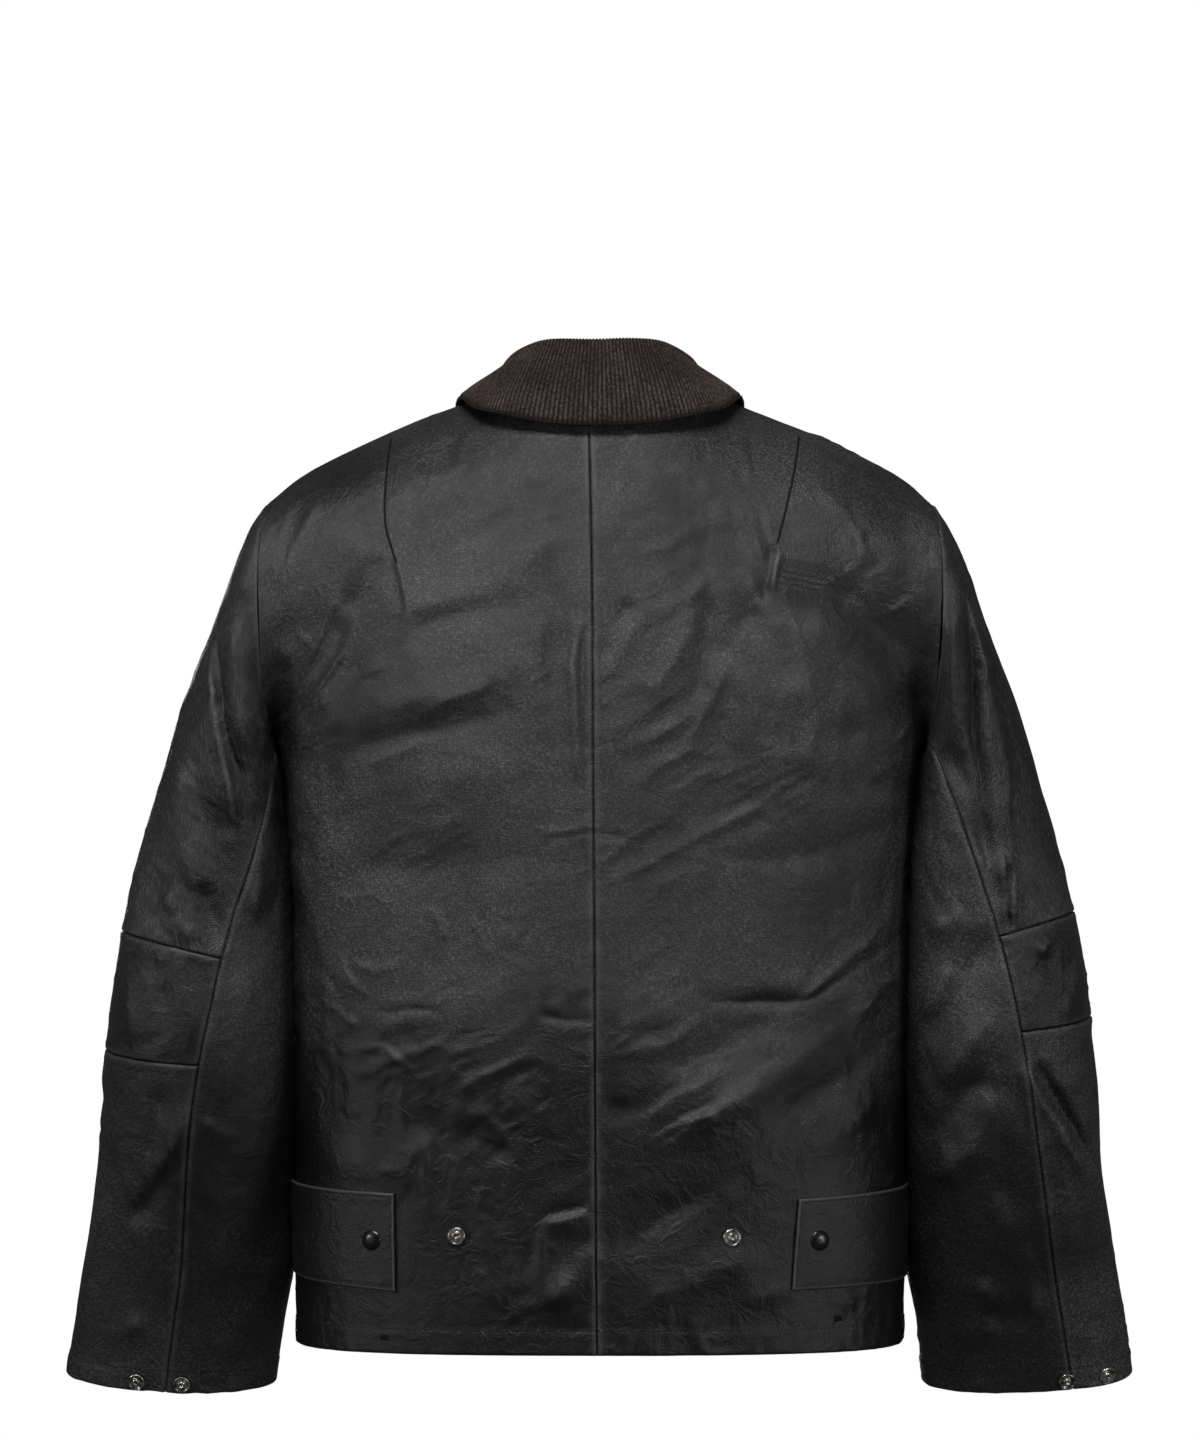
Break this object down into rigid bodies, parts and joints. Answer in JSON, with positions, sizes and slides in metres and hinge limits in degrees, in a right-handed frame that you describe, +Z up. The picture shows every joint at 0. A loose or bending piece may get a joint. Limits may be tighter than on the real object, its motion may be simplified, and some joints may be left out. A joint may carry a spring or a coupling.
{
  "type": "jacket",
  "caption": "Hip-length waxed cotton jacket with a corduroy collar, elbow panels, side tabs and snaps, hollow and open as worn.",
  "frame": {"origin": "middle of the neck opening, level with the points where the shoulder lines meet the collar", "axes": "+Z up, +Y towards the front of the jacket, +X towards the wearer's right; the pictured back faces -Y"},
  "size_m": [0.7606, 0.2189, 0.7442],
  "materials": {
    "waxed_cotton": "waxed, near black, patchy soft sheen",
    "corduroy": "ribbed cotton pile, dark brown",
    "dark_snap": "dark oxidised, domed",
    "bright_snap": "worn bright metal, ringed"
  },
  "bodies": {
    "root": {"back_left": "waxed_cotton", "back_right": "waxed_cotton", "front_left": "waxed_cotton", "front_right": "waxed_cotton", "sleeve_upper_left": "waxed_cotton", "elbow_left": "waxed_cotton", "forearm_left": "waxed_cotton", "undersleeve_left": "waxed_cotton", "tab_left": "waxed_cotton", "sleeve_upper_right": "waxed_cotton", "elbow_right": "waxed_cotton", "forearm_right": "waxed_cotton", "undersleeve_right": "waxed_cotton", "tab_right": "waxed_cotton", "collar": "corduroy", "tab_cap_left": "dark_snap", "tab_cap_right": "dark_snap", "front_snap_1": "dark_snap", "front_snap_2": "dark_snap", "front_snap_3": "dark_snap", "front_snap_4": "dark_snap", "front_snap_5": "dark_snap", "front_snap_6": "dark_snap", "stud_left": "bright_snap", "stud_right": "bright_snap", "cuff_stud_left_1": "bright_snap", "cuff_stud_left_2": "bright_snap", "cuff_stud_right_1": "bright_snap", "cuff_stud_right_2": "bright_snap"}
  },
  "joints": []
}
